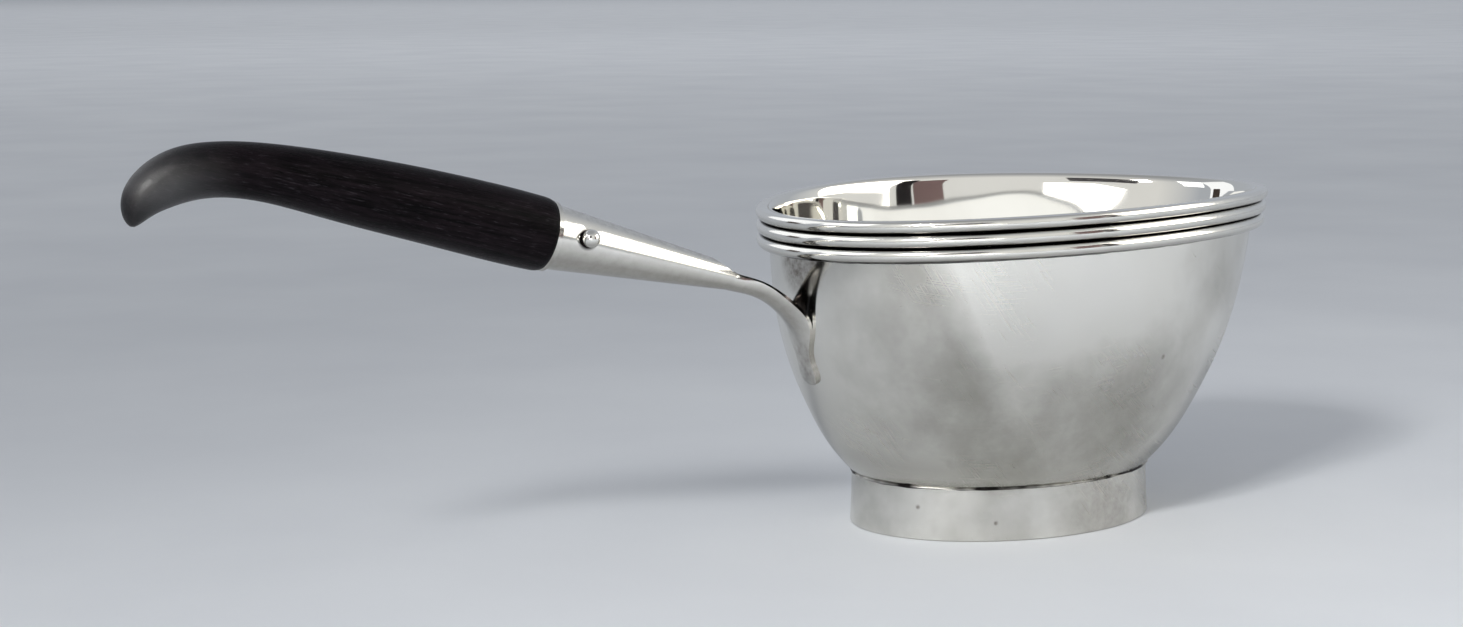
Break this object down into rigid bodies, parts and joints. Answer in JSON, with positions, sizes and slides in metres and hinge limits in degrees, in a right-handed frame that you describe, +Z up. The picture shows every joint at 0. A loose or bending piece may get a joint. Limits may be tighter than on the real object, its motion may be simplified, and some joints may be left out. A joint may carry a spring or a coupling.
{
  "type": "sauce boat",
  "caption": "Deep oval silver bowl with a reeded wire rim, an oval foot ring and a hooked dark wood handle pinned in a tapering socket, for pouring sauce.",
  "frame": {"origin": "middle of the plane that the foot ring stands on", "axes": "+Z up, the handle runs along -X, the pouring end points along +X, XZ is the plane of symmetry"},
  "size_m": [0.2475, 0.0916, 0.0848],
  "materials": {
    "bowl_silver": "hand-polished silver with fine wear",
    "rim_silver": "bright polished silver",
    "foot_silver": "polished silver with small dents",
    "handle_silver": "polished silver with light tarnish",
    "pin_silver": "bright polished silver",
    "grip_wood": "satin dark hardwood"
  },
  "bodies": {
    "root": {"bowl_shell": "bowl_silver", "rim_wire_upper": "rim_silver", "rim_wire_middle": "rim_silver", "rim_wire_lower": "rim_silver", "foot_ring": "foot_silver", "handle_socket": "handle_silver", "handle_leaf": "handle_silver", "wooden_handle": "grip_wood", "handle_pin": "pin_silver", "pin_ball_near": "pin_silver", "pin_ball_far": "pin_silver"}
  },
  "joints": []
}
